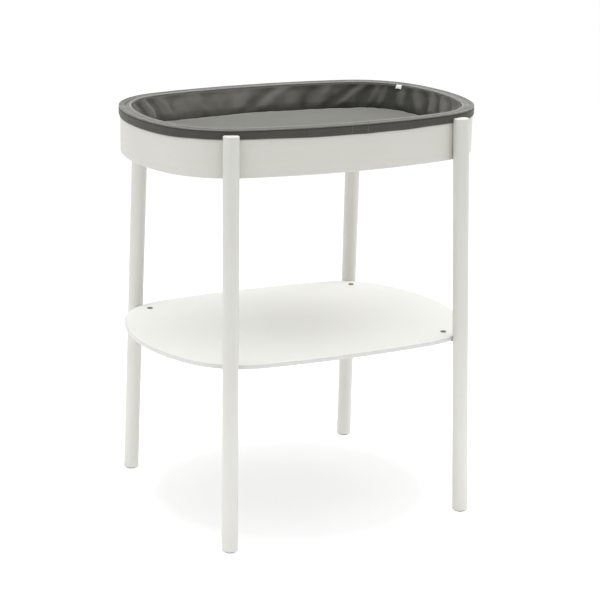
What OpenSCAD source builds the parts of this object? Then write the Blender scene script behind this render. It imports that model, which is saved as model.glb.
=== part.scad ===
// Oval changing table on four round legs, with a shelf and a lift-out fabric liner.
// Millimetres. The floor is z = 0, the long axis is X and the front faces -Y.
// An oval is [half length, half width, side radius, end radius, corner radius].

/* [Hoop] */
// Outer length of the hoop
hoop_l = 790; // [784:1:796]
// Outer width of the hoop
hoop_w = 531; // [528:1:534]
// Radius of the hoop's long sides seen from above
hoop_side_r = 1164; // [1100:1:1300]
// Radius of the hoop's ends seen from above
hoop_end_r = 392; // [380:1:410]
// Radius of the hoop's corners seen from above
hoop_corner_r = 177; // [170:1:185]
// Height of the hoop's wall
hoop_h = 83; // [78:1:86]
// Thickness of the bent plywood
hoop_t = 12; // [11:1:13]
// Height of the hoop's top edge above the floor
hoop_top = 893; // [884:1:896]

/* [Legs] */
// Diameter of a round leg
leg_d = 35; // [33:1:36]
// Height of a leg's top above the floor
leg_h = 903; // [900:1:906]
// Distance of a leg's top from the middle, along the length
leg_top_x = 276.4; // [275:0.2:278]
// Distance of a leg's top from the middle, along the width
leg_top_y = 243.4; // [242:0.2:245]
// Distance of a leg's foot from the middle, along the length
leg_foot_x = 290.4; // [286:0.2:294]
// Distance of a leg's foot from the middle, along the width
leg_foot_y = 283.2; // [278:0.2:287]
// Round-over at a leg's bottom edge
foot_round = 5; // [3:0.5:7]
// Round-over at a leg's top edge
top_round = 2; // [1:0.5:3]

/* [Shelf] */
// Length of the shelf
shelf_l = 771; // [765:1:775]
// Width of the shelf
shelf_w = 571; // [567:1:574]
// Radius of the shelf's long sides seen from above
shelf_side_r = 2097; // [1800:1:2300]
// Radius of the shelf's ends seen from above
shelf_end_r = 414; // [405:1:425]
// Radius of the shelf's corners seen from above
shelf_corner_r = 175; // [170:1:180]
// Thickness of the shelf
shelf_t = 10; // [9:0.5:12]
// Height of the shelf's top face above the floor
shelf_top = 411; // [400:1:430]
// Distance of a shelf bolt from the axis of its leg
shelf_bolt_in = 49; // [46:1:52]

/* [Liner] */
// How far the rim stands out past the hoop
rim_out = 3; // [2:0.5:3]
// Width of the padded rim seen from above
rim_w = 26; // [24:1:28]
// Height of the padded rim
rim_h = 19.5; // [19:0.5:22]
// Thickness of the liner's fabric with its lining
fabric_t = 2; // [1.5:0.25:2.5]
// How far inside the hoop's outside face the bottom of the liner's wall stands
well_in = 48.5; // [47:0.5:50]

/* [Pad] */
// Height of the pad's top face above the floor
pad_top = 861; // [856:1:865]
// Gap between the pad and the liner's wall
pad_gap = 1.5; // [1:0.5:3]
// Round-over of the pad's edge
pad_round = 9; // [6:1:12]

/* [Fixings] */
// Thickness of the bent steel brackets
bracket_t = 2.5; // [2:0.5:3]
// Width of a shelf bracket
shelf_bracket_w = 21; // [20:1:24]
// Diameter of the leg bolts and the shelf bolts
bolt_d = 6; // [5:1:6]
// Diameter of a floor glide
glide_d = 27; // [24:1:28]
// Thickness of a floor glide
glide_t = 3; // [2.5:0.5:4]

/* [Hidden] */
$fn = 180;
// The radial play of a bolt or screw in its hole
play = 0.05;
// A small overlap that makes a cut run clean through
cut = 1;
// How far a bolt's flat head stands off the middle of the curved bracket, so that its sides clear it
head_gap = 0.13;
// How far short of a corner's arc a side or an end of an oval stops, so that the two can overlap
seam = 1.5;

hoop = [hoop_l / 2, hoop_w / 2, hoop_side_r, hoop_end_r, hoop_corner_r];
shelf = [shelf_l / 2, shelf_w / 2, shelf_side_r, shelf_end_r, shelf_corner_r];
hoop_bottom = hoop_top - hoop_h;
shelf_bottom = shelf_top - shelf_t;

// Legs: the axis of one leg, and its lean
leg_top = [leg_top_x, leg_top_y];
leg_foot = [leg_foot_x, leg_foot_y];
leg_lean = atan2(norm(leg_foot - leg_top), leg_h);
leg_way = atan2(leg_top[1] - leg_foot[1], leg_top[0] - leg_foot[0]);
leg_length = norm([norm(leg_foot - leg_top), leg_h]);
function leg_at(z) = leg_foot + (leg_top - leg_foot) * z / leg_h;

// Heights inside the tray
tab_top = hoop_bottom + 6;
panel_t = 8;
panel_top = tab_top + panel_t;
floor_top = panel_top + fabric_t;
pad_bottom = floor_top + 0.3;
bolt_heights = [hoop_bottom + 22, hoop_bottom + 56];
bracket_top = hoop_bottom + 64;

// Where a leg meets the hoop: the middle of the joint and its direction seen from above
joint_z = (bolt_heights[0] + bolt_heights[1]) / 2;
hoop_corner = corner_centre(hoop);
joint_way = let (v = leg_at(joint_z) - hoop_corner) atan2(v[1], v[0]);
joint_at = hoop_corner + hoop[4] * [cos(joint_way), sin(joint_way)];

// Where a leg meets the shelf
shelf_z = shelf_bottom;
shelf_leg = leg_at(shelf_z);
bracket_reach = shelf_bolt_in + 11;
flange_t = 4;
flange_top = shelf_t - 1.5;
screw_z = 3.5;
screw_sides = [-6, 6];
screw_sink = 2.3;

// The liner's tag: its place round the corner, and its length, width and thickness
label_way = 33;
label_size = [10, 16, 1];

CORNERS = [[-1, -1], [1, -1], [-1, 1], [1, 1]];

// ---------- outlines ----------

// The same oval with its edge moved outward by d
function grow(o, d) = [for (v = o) v + d];

// The centre of an oval's corner arc in the first quadrant
function corner_centre(o) =
    let (
        a = [0, o[1] - o[2]],
        b = [o[0] - o[3], 0],
        span = norm(b - a),
        u = (b - a) / span,
        ra = o[2] - o[4],
        rb = o[3] - o[4],
        k = (ra * ra - rb * rb + span * span) / (2 * span)
    )
    a + k * u + sqrt(ra * ra - k * k) * [u[1], -u[0]];

// Half the angle that a long side spans, and half the angle that an end spans
function side_angle(o) = let (c = corner_centre(o)) atan2(c[0], c[1] - o[1] + o[2]);
function end_angle(o) = let (c = corner_centre(o)) atan2(c[1], c[0] - o[0] + o[3]);

// Turns a section about a centre, from one direction through an angle
module arc(centre, r, from, angle) {
    translate([centre[0], centre[1], 0])
        rotate_extrude(angle = angle, start = from)
            translate([r, 0])
                children();
}

// Sweeps a section round an oval. The section's X = 0 is the oval's edge and +X points outward.
module sweep(o) {
    c = corner_centre(o);
    side = side_angle(o);
    end = end_angle(o);
    lap = asin(2 * seam / o[4]);
    for (m = [0, 1], n = [0, 1])
        mirror([m, 0, 0]) mirror([0, n, 0]) {
            arc([0, o[1] - o[2]], o[2], 90, asin(seam / o[2]) - side) children();
            arc([o[0] - o[3], 0], o[3], 0, end - asin(seam / o[3])) children();
            arc(c, o[4], end - lap, 90 - side - end + 2 * lap) children();
        }
}

// The flat area of an oval
module area(o) {
    c = corner_centre(o);
    x = c[0] + o[4] * sin(side_angle(o)) - seam;
    y = c[1] + o[4] * sin(end_angle(o)) - seam;
    for (s = [-1, 1]) {
        intersection() {
            translate([0, s * (o[1] - o[2])]) circle(o[2]);
            translate([-x, s > 0 ? 0 : -o[1] - cut]) square([2 * x, o[1] + cut]);
        }
        intersection() {
            translate([s * (o[0] - o[3]), 0]) circle(o[3]);
            translate([s > 0 ? 0 : -o[0] - cut, -y]) square([o[0] + cut, 2 * y]);
        }
        for (t = [-1, 1])
            translate([s * c[0], t * c[1]]) circle(o[4]);
    }
}

// A flat oval body, from z = 0 up to h
module plate(o, h) {
    linear_extrude(h) area(o);
}

// Points round a corner of radius r about c, from one direction to another in n steps
function bend(c, r, from, to, n) =
    [for (i = [0:n]) c + r * [cos(from + (to - from) * i / n), sin(from + (to - from) * i / n)]];

// A rectangle from x = -w to 0 and up to h, with its outer corners rounded in n steps
module round_edge(w, h, r, n) {
    polygon(concat(
        [[-w, 0]],
        bend([-r, r], r, -90, 0, n),
        bend([-r, h - r], r, 0, 90, n),
        [[-w, h]]
    ));
}

// A flat oval body with a rounded edge, from z = 0 up to h
module slab(o, h, r, n = 3) {
    plate(grow(o, -r - 2), h);
    sweep(o) round_edge(r + 6, h, r, n);
}

// An upright oval band, from z = 0 up to h, with a wall of thickness t
module band(o, h, t) {
    difference() {
        plate(o, h);
        translate([0, 0, -cut]) plate(grow(o, -t), h + 2 * cut);
    }
}

// ---------- placing ----------

// Puts a piece drawn for the back right corner at corner k of CORNERS
module at_corner(k) {
    s = CORNERS[k];
    mirror([s[0] < 0 ? 1 : 0, 0, 0])
        mirror([0, s[1] < 0 ? 1 : 0, 0])
            children();
}

// The same piece at all four corners
module at_corners() {
    for (k = [0:3])
        at_corner(k) children();
}

// The frame of a leg joint: the origin is on the hoop's outside face and +Z points out through the leg
module at_bolts() {
    for (z = bolt_heights)
        translate([joint_at[0], joint_at[1], z])
            rotate([0, 90, joint_way])
                children();
}

// The frame of a shelf bracket: the origin is on the leg's axis at the shelf's underside, +X points outward
module at_shelf_leg() {
    translate([shelf_leg[0], shelf_leg[1], shelf_z])
        rotate(joint_way)
            children();
}

// ---------- hoop and base ----------

module top_hoop() {
    color("ivory")
    difference() {
        translate([0, 0, hoop_bottom]) slab(hoop, hoop_h, 2.5);
        plate(grow(hoop, -hoop_t), hoop_top + cut);
        at_corners() at_bolts()
            translate([0, 0, -hoop_t - cut])
                cylinder(r = bolt_d / 2 + play, h = hoop_t + 2 * cut, $fn = 48);
    }
}

module base_panel() {
    color("ivory")
    difference() {
        translate([0, 0, tab_top])
            plate(grow(hoop, -hoop_t - bracket_t - 1), panel_t);
        at_corners() at_panel_screw()
            cylinder(r = 2, h = 7, $fn = 48);
    }
}

// The frame of a panel screw: the origin is on the top of the bracket's tab and +Z points up
module at_panel_screw() {
    r = hoop[4] - hoop_t - 20;
    translate([hoop_corner[0] + r * cos(joint_way), hoop_corner[1] + r * sin(joint_way), tab_top])
        children();
}

// A bent steel angle inside the hoop: the leg bolts clamp it and its tab carries the base panel
module hoop_bracket() {
    color("dimgray")
    difference() {
        arc(hoop_corner, hoop[4] - hoop_t, joint_way - 7, 14)
            polygon([
                [0, tab_top - bracket_t],
                [0, bracket_top],
                [-bracket_t, bracket_top],
                [-bracket_t, tab_top],
                [-32, tab_top],
                [-32, tab_top - bracket_t]
            ]);
        at_bolts()
            translate([0, 0, -hoop_t - bracket_t - cut])
                cylinder(r = bolt_d / 2 + play, h = bracket_t + 2 * cut, $fn = 48);
        at_panel_screw()
            translate([0, 0, -bracket_t - cut])
                cylinder(r = 2 + play, h = bracket_t + 2 * cut, $fn = 48);
    }
}

module hoop_bracket_front_left() { at_corner(0) hoop_bracket(); }
module hoop_bracket_front_right() { at_corner(1) hoop_bracket(); }
module hoop_bracket_back_left() { at_corner(2) hoop_bracket(); }
module hoop_bracket_back_right() { at_corner(3) hoop_bracket(); }

// ---------- legs ----------

// A round bar with rounded ends, leaning as the leg does
module leg_bar() {
    r = leg_d / 2;
    translate([leg_foot[0], leg_foot[1], 0])
        rotate([0, leg_lean, leg_way]) rotate(180)
            rotate_extrude()
                polygon(concat(
                    [[0, 0]],
                    bend([r - foot_round, foot_round], foot_round, -90, 0, 6),
                    bend([r - top_round, leg_length - top_round], top_round, 0, 90, 4),
                    [[0, leg_length]]
                ));
}

module leg() {
    color("ivory")
    difference() {
        leg_bar();
        translate([0, 0, -glide_t])
            translate([leg_foot[0] - leg_d, leg_foot[1] - leg_d, 0])
                cube([2 * leg_d, 2 * leg_d, 2 * glide_t]);
        translate([hoop_corner[0], hoop_corner[1], hoop_bottom])
            cylinder(r = hoop_corner_r, h = hoop_h + cut);
        translate([hoop_corner[0], hoop_corner[1], hoop_top])
            cylinder(r = hoop_corner_r + rim_out + 0.4, h = 40);
        at_bolts()
            translate([0, 0, -2]) cylinder(d = 9, h = 20, $fn = 48);
        at_shelf_leg() for (y = screw_sides)
            translate([-leg_d / 2 - flange_t, y, screw_z]) rotate([0, 90, 0])
                cylinder(r = 2 + play, h = 26, $fn = 48);
        translate([leg_foot[0], leg_foot[1], -cut])
            cylinder(r = 1.25 + play, h = 18, $fn = 48);
    }
}

module leg_front_left() { at_corner(0) leg(); }
module leg_front_right() { at_corner(1) leg(); }
module leg_back_left() { at_corner(2) leg(); }
module leg_back_right() { at_corner(3) leg(); }

// Threaded sleeves pressed into the legs
module leg_inserts() {
    color("goldenrod")
    at_corners() at_bolts()
        translate([0, 0, 1])
            difference() {
                cylinder(d = 9, h = 16, $fn = 48);
                translate([0, 0, -cut]) cylinder(r = bolt_d / 2 + play, h = 15, $fn = 48);
            }
}

// A bolt with a low round head and a hex socket. The head's underside is z = 0 and the shank points along +Z.
module bolt(d, length, head_d, head_h, socket) {
    difference() {
        union() {
            cylinder(d = d, h = length, $fn = 48);
            translate([0, 0, -head_h]) cylinder(d = head_d, h = head_h, $fn = 48);
        }
        translate([0, 0, -head_h - cut]) cylinder(d = socket, h = head_h * 0.7 + cut, $fn = 6);
    }
}

module leg_bolts() {
    color("silver")
    at_corners() at_bolts()
        translate([0, 0, -hoop_t - bracket_t - head_gap])
            bolt(bolt_d, 28, 12, 3.5, 4.4);
}

module panel_screws() {
    color("silver")
    at_corners() at_panel_screw()
        translate([0, 0, -bracket_t])
            bolt(4, 9, 8, 2, 2.6);
}

// ---------- shelf ----------

module shelf_board() {
    color("white")
    difference() {
        translate([0, 0, shelf_bottom])
            slab(shelf, shelf_t, 2);
        at_corners() at_shelf_leg() {
            translate([-leg_d / 2 - flange_t - 0.5, -shelf_bracket_w / 2 - 0.5, -cut])
                cube([leg_d, shelf_bracket_w + 1, flange_top + 0.2 + cut]);
            translate([0, 0, -cut])
                cylinder(r = leg_d / 2 + 0.7, h = shelf_t + 2 * cut);
            translate([-shelf_bolt_in, 0, -cut])
                cylinder(r = bolt_d / 2 + play, h = shelf_t + 2 * cut, $fn = 48);
        }
    }
}

// A steel angle: the flange is hollowed to fit the round leg and the tab carries the shelf
module shelf_bracket() {
    color("dimgray")
    difference() {
        at_shelf_leg() {
            translate([-leg_d / 2 - flange_t, -shelf_bracket_w / 2, -bracket_t])
                cube([flange_t + 4, shelf_bracket_w, bracket_t + flange_top]);
            translate([-bracket_reach, -shelf_bracket_w / 2, -bracket_t])
                cube([bracket_reach - leg_d / 2, shelf_bracket_w, bracket_t]);
        }
        leg_bar();
        at_shelf_leg() {
            for (y = screw_sides)
                translate([-leg_d / 2 - flange_t - cut, y, screw_z]) rotate([0, 90, 0]) {
                    cylinder(r = 2 + play, h = flange_t + 4 * cut, $fn = 48);
                    cylinder(r = 4 + play, h = screw_sink + cut, $fn = 48);
                }
            translate([-shelf_bolt_in, 0, -bracket_t - cut])
                cylinder(r = bolt_d / 2 + play, h = bracket_t + 2 * cut, $fn = 48);
        }
    }
}

module shelf_bracket_front_left() { at_corner(0) shelf_bracket(); }
module shelf_bracket_front_right() { at_corner(1) shelf_bracket(); }
module shelf_bracket_back_left() { at_corner(2) shelf_bracket(); }
module shelf_bracket_back_right() { at_corner(3) shelf_bracket(); }

module bracket_screws() {
    color("silver")
    at_corners() at_shelf_leg() for (y = screw_sides)
        translate([-leg_d / 2 - flange_t + screw_sink, y, screw_z])
            rotate([0, 90, 0]) rotate(90)
                bolt(4, 23, 8, 2.2, 2.6);
}

module shelf_bolts() {
    color("gray")
    at_corners() at_shelf_leg()
        translate([-shelf_bolt_in, 0, shelf_t])
            rotate([180, 0, 0])
                bolt(bolt_d, 18, 13, 1.6, 4);
}

// ---------- glides ----------

module glide() {
    color("dimgray")
    translate([leg_foot[0], leg_foot[1], 0])
        difference() {
            rotate_extrude()
                polygon(concat(
                    [[0, 0]],
                    bend([glide_d / 2 - 1, 1], 1, -90, 0, 3),
                    [[glide_d / 2, glide_t], [0, glide_t]]
                ));
            translate([0, 0, -cut]) cylinder(r = 1.25 + play, h = glide_t + 2 * cut, $fn = 48);
            translate([0, 0, -cut]) cylinder(d = 6, h = 1.5 + cut, $fn = 48);
        }
}

module glide_front_left() { at_corner(0) glide(); }
module glide_front_right() { at_corner(1) glide(); }
module glide_back_left() { at_corner(2) glide(); }
module glide_back_right() { at_corner(3) glide(); }

module glide_nails() {
    color("silver")
    at_corners()
        translate([leg_foot[0], leg_foot[1], 0]) {
            translate([0, 0, 0.7]) cylinder(d = 5.6, h = 0.8, $fn = 48);
            translate([0, 0, 1]) cylinder(d = 2.5, h = 15, $fn = 48);
        }
}

// ---------- liner ----------

rim = grow(hoop, rim_out);

// A stiff foam strip inside the rim
module rim_core() {
    color("dimgray")
    translate([0, 0, hoop_top + fabric_t])
        band(grow(rim, -fabric_t), rim_h - 2 * fabric_t, rim_w - 2 * fabric_t);
}

// The fabric sleeve round the rim, with a lip that drops inside the hoop
module rim_cover() {
    color("dimgray") {
        difference() {
            translate([0, 0, hoop_top]) slab(rim, rim_h, 3);
            plate(grow(rim, -rim_w), hoop_top + rim_h + cut);
            rim_core();
        }
        translate([0, 0, hoop_top - 10])
            band(grow(hoop, -hoop_t - 0.8), 12, fabric_t);
    }
}

// The space inside the liner's wall, with its side moved outward by d
module well(d) {
    foot = grow(hoop, -well_in + d);
    mouth = grow(hoop, rim_out - rim_w - fabric_t + d);
    translate([0, 0, panel_top - (d > 0 ? 0 : cut)])
        plate(foot, pad_top + 5 - panel_top + (d > 0 ? 0 : cut));
    hull() {
        translate([0, 0, pad_top + 4.5]) plate(foot, 0.5, $fn = 120);
        translate([0, 0, hoop_top + 15.5]) plate(mouth, 0.5 + (d > 0 ? 0 : 0.1), $fn = 120);
    }
}

// The fabric wall that slopes from the rim to the bottom of the well
module liner_wall() {
    color("dimgray")
    difference() {
        well(fabric_t);
        well(0);
    }
}

// The quilted bottom of the liner
module liner_floor() {
    color("dimgray")
    translate([0, 0, panel_top])
        plate(grow(hoop, -well_in), fabric_t);
}

// A blank folded tag sewn to the rim's inner edge at the back right corner
module liner_label() {
    color("white")
    translate([hoop_corner[0], hoop_corner[1], hoop_top + 17])
        rotate(label_way)
            translate([hoop_corner_r + rim_out - rim_w - 0.6 - label_size[0], -label_size[1] / 2, 0])
                cube(label_size);
}

// ---------- pad ----------

pad = grow(hoop, -well_in - pad_gap);
pad_h = pad_top - pad_bottom;
cover_t = 1.5;

module pad_cover() {
    color("gray")
    difference() {
        translate([0, 0, pad_bottom]) slab(pad, pad_h, pad_round);
        pad_foam();
    }
}

module pad_foam() {
    color("lightgray")
    translate([0, 0, pad_bottom + cover_t])
        slab(grow(pad, -cover_t), pad_h - 2 * cover_t, pad_round - cover_t);
}

top_hoop();
base_panel();
hoop_bracket_front_left();
hoop_bracket_front_right();
hoop_bracket_back_left();
hoop_bracket_back_right();
leg_front_left();
leg_front_right();
leg_back_left();
leg_back_right();
leg_inserts();
leg_bolts();
panel_screws();
shelf_board();
shelf_bracket_front_left();
shelf_bracket_front_right();
shelf_bracket_back_left();
shelf_bracket_back_right();
bracket_screws();
shelf_bolts();
glide_front_left();
glide_front_right();
glide_back_left();
glide_back_right();
glide_nails();
rim_core();
rim_cover();
liner_wall();
liner_floor();
liner_label();
pad_cover();
pad_foam();
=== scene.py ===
import math

import bpy
import numpy as np
from mathutils import Matrix, Vector


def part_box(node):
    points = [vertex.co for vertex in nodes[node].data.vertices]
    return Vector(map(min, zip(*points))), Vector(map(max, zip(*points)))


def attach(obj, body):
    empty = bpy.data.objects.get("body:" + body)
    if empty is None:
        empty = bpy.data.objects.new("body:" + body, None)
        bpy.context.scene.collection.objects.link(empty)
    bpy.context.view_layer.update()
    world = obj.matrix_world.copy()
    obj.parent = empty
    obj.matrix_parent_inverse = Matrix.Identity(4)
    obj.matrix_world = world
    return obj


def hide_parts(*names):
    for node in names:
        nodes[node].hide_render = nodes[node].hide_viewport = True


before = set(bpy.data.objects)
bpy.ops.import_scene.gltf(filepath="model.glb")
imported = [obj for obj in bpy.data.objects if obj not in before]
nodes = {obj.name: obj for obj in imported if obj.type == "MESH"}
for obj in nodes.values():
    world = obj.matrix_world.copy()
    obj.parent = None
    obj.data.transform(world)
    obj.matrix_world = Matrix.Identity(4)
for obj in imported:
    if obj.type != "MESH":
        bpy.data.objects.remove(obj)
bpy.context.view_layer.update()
MM = 0.001

# ---------------------------------------------------------------- measures of the frame

_, hoop_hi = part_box("top_hoop")
floor_lo, floor_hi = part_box("liner_floor")
pad_lo, pad_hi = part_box("pad_cover")
label_lo, label_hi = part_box("liner_label")

# The hoop's outline: half length, half width and the radii of sides, ends and corners, as in the CAD part
HOOP = [hoop_hi.x, hoop_hi.y, 1.164, 0.392, 0.177]
HOOP_TOP = hoop_hi.z
PAD_ROUND = 9.0
FLOOR_TOP = floor_hi.z
PAD_TOP = pad_hi.z
WELL_IN = hoop_hi.x - floor_hi.x
PAD_IN = hoop_hi.x - pad_hi.x


class Oval:
    """A closed outline of arcs. at(s) gives points and outward normals for positions s from 0 to 1."""

    def __init__(self, o):
        hx, hy, rs, re, rc = o
        a = np.array([0.0, hy - rs])
        b = np.array([hx - re, 0.0])
        span = np.linalg.norm(b - a)
        u = (b - a) / span
        ra, rb = rs - rc, re - rc
        k = (ra * ra - rb * rb + span * span) / (2 * span)
        c = a + k * u + math.sqrt(ra * ra - k * k) * np.array([u[1], -u[0]])
        side = math.atan2(c[0], c[1] - hy + rs)
        end = math.atan2(c[1], c[0] - hx + re)
        q = math.pi / 2
        arcs = [((b[0], 0.0), re, -end, end), ((c[0], c[1]), rc, end, q - side),
                ((0.0, a[1]), rs, q - side, q + side), ((-c[0], c[1]), rc, q + side, 2 * q - end),
                ((-b[0], 0.0), re, 2 * q - end, 2 * q + end), ((-c[0], -c[1]), rc, 2 * q + end, 3 * q - side),
                ((0.0, -a[1]), rs, 3 * q - side, 3 * q + side),
                ((c[0], -c[1]), rc, 3 * q + side, 4 * q - end)]
        self.arcs = arcs
        lengths = np.array([r * (t1 - t0) for _, r, t0, t1 in arcs])
        self.length = lengths.sum()
        self.ends = np.cumsum(lengths) / self.length

    def at(self, s):
        s = np.asarray(s, float) % 1.0
        i = np.minimum(np.searchsorted(self.ends, s, side="right"), len(self.arcs) - 1)
        start = np.concatenate([[0.0], self.ends])[i]
        share = (s - start) / (self.ends[i] - start)
        cx = np.array([a[0][0] for a in self.arcs])[i]
        cy = np.array([a[0][1] for a in self.arcs])[i]
        r = np.array([a[1] for a in self.arcs])[i]
        t0 = np.array([a[2] for a in self.arcs])[i]
        t1 = np.array([a[3] for a in self.arcs])[i]
        t = t0 + (t1 - t0) * share
        n = np.stack([np.cos(t), np.sin(t)], -1)
        return np.stack([cx, cy], -1) + r[:, None] * n, n

    def near(self, x, y):
        """The position s whose outline point is nearest to a point."""
        s = np.linspace(0, 1, 4000, endpoint=False)
        p, _ = self.at(s)
        return s[np.argmin((p[:, 0] - x) ** 2 + (p[:, 1] - y) ** 2)]


oval = Oval(HOOP)


def smooth_noise(shape, cells, seed):
    """Smooth random values from -1 to 1 on a grid whose first side wraps round. cells says how many random
    cells each side holds."""
    rng = np.random.default_rng(seed)
    cu, cv = cells
    g = rng.uniform(-1, 1, (cu, cv + 2))
    u = np.arange(shape[0]) / shape[0] * cu
    v = np.linspace(0, cv, shape[1])
    iu, iv = np.floor(u).astype(int), np.minimum(np.floor(v).astype(int), cv)
    fu, fv = u - iu, v - iv
    fu, fv = fu * fu * (3 - 2 * fu), fv * fv * (3 - 2 * fv)
    a = g[iu % cu][:, iv]
    b = g[(iu + 1) % cu][:, iv]
    c = g[iu % cu][:, iv + 1]
    d = g[(iu + 1) % cu][:, iv + 1]
    fu = fu[:, None]
    fv = fv[None, :]
    return (a * (1 - fu) + b * fu) * (1 - fv) + (c * (1 - fu) + d * fu) * fv


def bump(x, centre, width):
    """A smooth bump of height 1 round centre on a wrapped 0 to 1 axis."""
    d = np.abs((x - centre + 0.5) % 1.0 - 0.5) / width
    return np.where(d < 1, (1 - d * d) ** 2, 0.0)


def new_object(name, verts, faces, smooth=True):
    """A mesh object in the scene, from points and faces."""
    me = bpy.data.meshes.new(name)
    me.from_pydata([tuple(v) for v in np.asarray(verts, float).reshape(-1, 3)], [], faces)
    me.validate()
    me.update()
    ob = bpy.data.objects.new(name, me)
    bpy.context.scene.collection.objects.link(ob)
    if smooth:
        me.polygons.foreach_set("use_smooth", [True] * len(me.polygons))
    return ob


def smoothen(ob):
    """Adds one level of smooth subdivision."""
    mod = ob.modifiers.new("smooth", "SUBSURF")
    mod.levels = mod.render_levels = 1


def thicken(ob, thickness_mm, offset):
    """Gives a cloth its thickness. An offset of 1, 0 or -1 puts it outside, on both sides or inside."""
    mod = ob.modifiers.new("thickness", "SOLIDIFY")
    mod.thickness = thickness_mm * MM
    mod.offset = offset


def loop_grid(nu, nv, close_v=False):
    """Faces of a grid whose first side wraps round. Vertex i, j is i * nv + j."""
    faces = []
    last = nv if close_v else nv - 1
    for i in range(nu):
        a, b = i * nv, ((i + 1) % nu) * nv
        for j in range(last):
            k = (j + 1) % nv
            faces.append((a + j, b + j, b + k, a + k))
    return faces


def add_uv(ob, uv):
    """Writes one UV pair for each vertex of a wrapped grid, without the jump at the join."""
    me = ob.data
    layer = me.uv_layers.new(name="weave")
    uv = np.asarray(uv, float)
    span = uv[:, 0].max()
    for poly in me.polygons:
        us = [uv[me.loops[li].vertex_index, 0] for li in poly.loop_indices]
        high = max(us)
        for li, u in zip(poly.loop_indices, us):
            v = uv[me.loops[li].vertex_index, 1]
            layer.data[li].uv = (u + (span if high - u > span / 2 else 0.0), v)


# ---------------------------------------------------------------- materials

def srgb(h):
    """The linear colour of a hex string."""
    h = h.lstrip("#")
    out = []
    for i in (0, 2, 4):
        c = int(h[i:i + 2], 16) / 255
        out.append(c / 12.92 if c <= 0.04045 else ((c + 0.055) / 1.055) ** 2.4)
    return (*out, 1.0)


class Mat:
    """A node material with short names for the nodes it needs."""

    def __init__(self, name):
        self.m = bpy.data.materials.new(name)
        self.m.use_nodes = True
        self.t = self.m.node_tree
        self.t.nodes.clear()
        self.out = self.node("ShaderNodeOutputMaterial")
        self.b = self.node("ShaderNodeBsdfPrincipled")
        self.link(self.b.outputs[0], self.out.inputs[0])

    def node(self, kind, **values):
        n = self.t.nodes.new(kind)
        for k, v in values.items():
            setattr(n, k, v)
        return n

    def link(self, a, b):
        self.t.links.new(a, b)

    def coords(self, uv=False, scale=(1, 1, 1)):
        if uv:
            src = self.node("ShaderNodeUVMap", uv_map="weave").outputs[0]
        else:
            src = self.node("ShaderNodeTexCoord").outputs["Object"]
        mp = self.node("ShaderNodeMapping")
        mp.inputs["Scale"].default_value = scale
        self.link(src, mp.inputs[0])
        return mp.outputs[0]

    def noise(self, vec, scale, detail=4, rough=0.55, distort=0.0):
        n = self.node("ShaderNodeTexNoise")
        n.inputs["Scale"].default_value = scale
        n.inputs["Detail"].default_value = detail
        n.inputs["Roughness"].default_value = rough
        n.inputs["Distortion"].default_value = distort
        self.link(vec, n.inputs["Vector"])
        return n.outputs[0]

    def threads(self, vec, scale, direction):
        """Slightly uneven parallel bands along X, Y or Z."""
        n = self.node("ShaderNodeTexWave", wave_type="BANDS", bands_direction=direction, wave_profile="SIN")
        n.inputs["Scale"].default_value = scale
        n.inputs["Distortion"].default_value = 0.6
        n.inputs["Detail"].default_value = 1.0
        n.inputs["Detail Scale"].default_value = 2.0
        self.link(vec, n.inputs["Vector"])
        return n.outputs["Fac"]

    def ramp(self, fac, stops):
        n = self.node("ShaderNodeValToRGB")
        r = n.color_ramp
        while len(r.elements) < len(stops):
            r.elements.new(0.5)
        for e, (p, c) in zip(r.elements, stops):
            e.position = p
            e.color = c if len(c) == 4 else (*c, 1)
        self.link(fac, n.inputs[0])
        return n.outputs[0]

    def math(self, op, a, b=None, clamp=False):
        n = self.node("ShaderNodeMath", operation=op, use_clamp=clamp)
        for i, v in enumerate((a, b)):
            if v is None:
                continue
            if isinstance(v, (int, float)):
                n.inputs[i].default_value = v
            else:
                self.link(v, n.inputs[i])
        return n.outputs[0]

    def mix(self, fac, a, b, mode="MIX"):
        n = self.node("ShaderNodeMix", data_type="RGBA", blend_type=mode)
        for i, v in ((0, fac), (6, a), (7, b)):
            if isinstance(v, (int, float, tuple)):
                n.inputs[i].default_value = v
            else:
                self.link(v, n.inputs[i])
        return n.outputs[2]

    def bump(self, height, strength, distance, normal=None):
        n = self.node("ShaderNodeBump")
        n.inputs["Strength"].default_value = strength
        n.inputs["Distance"].default_value = distance
        self.link(height, n.inputs["Height"])
        if normal is not None:
            self.link(normal, n.inputs["Normal"])
        return n.outputs[0]

    def set(self, **values):
        for k, v in values.items():
            s = self.b.inputs[k.replace("_", " ")]
            if isinstance(v, (int, float, tuple)):
                s.default_value = v
            else:
                self.link(v, s)
        return self


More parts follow.
